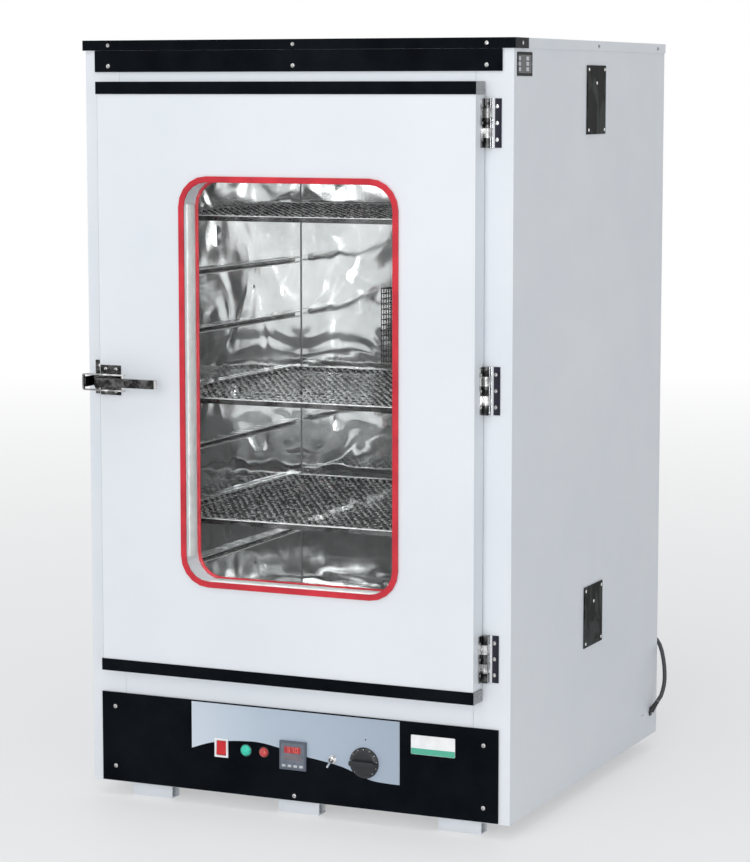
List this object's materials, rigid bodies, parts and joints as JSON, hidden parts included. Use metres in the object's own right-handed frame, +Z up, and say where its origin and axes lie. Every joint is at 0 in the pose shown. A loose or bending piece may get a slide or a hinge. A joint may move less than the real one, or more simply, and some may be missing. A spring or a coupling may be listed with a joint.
{
  "type": "bacteriological incubator",
  "caption": "Floor-standing double-walled incubator cabinet with a glazed hinged door, a draw latch, perforated shelves, a fan-heated steel chamber and a control panel at the bottom.",
  "frame": {"origin": "centre of the footprint of the cabinet with its door and latch, on the plane that the feet stand on; the cord isn't counted", "axes": "+X to the right seen from the front, +Y from the door to the back, +Z up"},
  "size_m": [0.7836, 0.941, 1.263],
  "materials": {
    "white_paint": "powder coat, semi-gloss",
    "mirror_stainless": "bright, slightly dented sheet",
    "chrome": "polished",
    "zinc_sheet": "zinc plated",
    "black_acrylic": "gloss",
    "black_plastic": "satin",
    "red_rubber": "satin",
    "grey_rubber": "matt",
    "window_glass": "clear",
    "glass_wool": "fibrous",
    "grey_plastic": "satin",
    "pale_plastic": "satin",
    "white_plastic": "satin",
    "red_plastic": "gloss",
    "green_lens": "gloss",
    "cable_sheath": "satin"
  },
  "bodies": {
    "cabinet": {"left_side_panel": "white_paint", "right_side_panel": "white_paint", "back_panel": "white_paint", "top_cover": "white_paint", "base_pan": "white_paint", "bottom_rail": "white_paint", "top_rail": "white_paint", "cap_strip": "black_acrylic", "top_fascia": "black_acrylic", "control_panel": "black_acrylic", "chamber_left_wall": "mirror_stainless", "chamber_right_wall": "mirror_stainless", "chamber_back_wall": "mirror_stainless", "chamber_floor": "mirror_stainless", "chamber_roof": "mirror_stainless", "glass_wool_jacket": "glass_wool", "lower_shelf": "mirror_stainless", "middle_shelf": "mirror_stainless", "upper_shelf": "mirror_stainless", "fan_guard": "mirror_stainless", "fan_motor": "zinc_sheet", "heater_element": "zinc_sheet", "temperature_controller": "grey_plastic", "green_lamp": "green_lens", "red_lamp": "red_plastic", "rocker_frame": "white_plastic", "toggle_switch_body": "chrome", "upper_side_cover": "black_acrylic", "lower_side_cover": "black_acrylic", "lower_hinge_frame_leaf": "chrome", "middle_hinge_frame_leaf": "chrome", "upper_hinge_frame_leaf": "chrome", "latch_keeper": "chrome", "cord_gland": "black_plastic", "mains_lead": "cable_sheath", "lead_coil": "cable_sheath", "mains_plug": "black_plastic"},
    "door": {"door_outer_pan": "white_paint", "door_inner_pan": "mirror_stainless", "door_seal": "grey_rubber", "outer_pane": "window_glass", "inner_pane": "window_glass", "outer_bead": "red_rubber", "inner_bead": "red_rubber", "bottom_door_strip": "black_acrylic", "top_door_strip": "black_acrylic", "lower_hinge_door_leaf": "chrome", "middle_hinge_door_leaf": "chrome", "upper_hinge_door_leaf": "chrome", "latch_base": "chrome"},
    "lever": {"latch_lever": "chrome"},
    "bail": {"latch_bail": "chrome"},
    "fan": {"fan_wheel": "mirror_stainless"},
    "rocker": {"rocker_key": "red_plastic"},
    "toggle": {"toggle_lever": "chrome"},
    "knob": {"control_knob": "black_plastic"},
    "key_1": {"controller_key_1": "pale_plastic"},
    "key_2": {"controller_key_2": "pale_plastic"},
    "key_3": {"controller_key_3": "pale_plastic"},
    "key_4": {"controller_key_4": "pale_plastic"}
  },
  "joints": [
    {"name": "door_hinge", "type": "hinge", "parent": "cabinet", "child": "door", "pos_m": [0.3363, -0.3288, 0.224], "axis": [0, 0, 1], "range_deg": [0, 95]},
    {"name": "lever_swing", "type": "hinge", "parent": "door", "child": "lever", "pos_m": [-0.318, -0.399, 0.71], "axis": [0, 0, -1], "range_deg": [0, 110]},
    {"name": "bail_swing", "type": "hinge", "parent": "lever", "child": "bail", "pos_m": [-0.27, -0.401, 0.71], "axis": [0, 0, 1], "range_deg": [0, 110]},
    {"name": "fan_spin", "type": "hinge", "parent": "cabinet", "child": "fan", "pos_m": [0, 0.334, 0.71], "axis": [0, 1, 0], "continuous": true},
    {"name": "rocker_tilt", "type": "hinge", "parent": "cabinet", "child": "rocker", "pos_m": [-0.1325, -0.3261, 0.103], "axis": [1, 0, 0], "range_deg": [0, 16]},
    {"name": "toggle_throw", "type": "hinge", "parent": "cabinet", "child": "toggle", "pos_m": [0.0702, -0.3325, 0.103], "axis": [-1, 0, 0], "range_deg": [0, 52]},
    {"name": "knob_turn", "type": "hinge", "parent": "cabinet", "child": "knob", "pos_m": [0.1264, -0.3263, 0.103], "axis": [0, 1, 0], "range_deg": [0, 270]},
    {"name": "key_1_press", "type": "slide", "parent": "cabinet", "child": "key_1", "axis": [0, 1, 0], "range_m": [0, 0.0008], "stiffness_N_per_m": 400},
    {"name": "key_2_press", "type": "slide", "parent": "cabinet", "child": "key_2", "axis": [0, 1, 0], "range_m": [0, 0.0008], "stiffness_N_per_m": 400},
    {"name": "key_3_press", "type": "slide", "parent": "cabinet", "child": "key_3", "axis": [0, 1, 0], "range_m": [0, 0.0008], "stiffness_N_per_m": 400},
    {"name": "key_4_press", "type": "slide", "parent": "cabinet", "child": "key_4", "axis": [0, 1, 0], "range_m": [0, 0.0008], "stiffness_N_per_m": 400}
  ],
  "couplings": [
    {"joint": "bail_swing", "follows": "lever_swing", "ratio": 1}
  ]
}
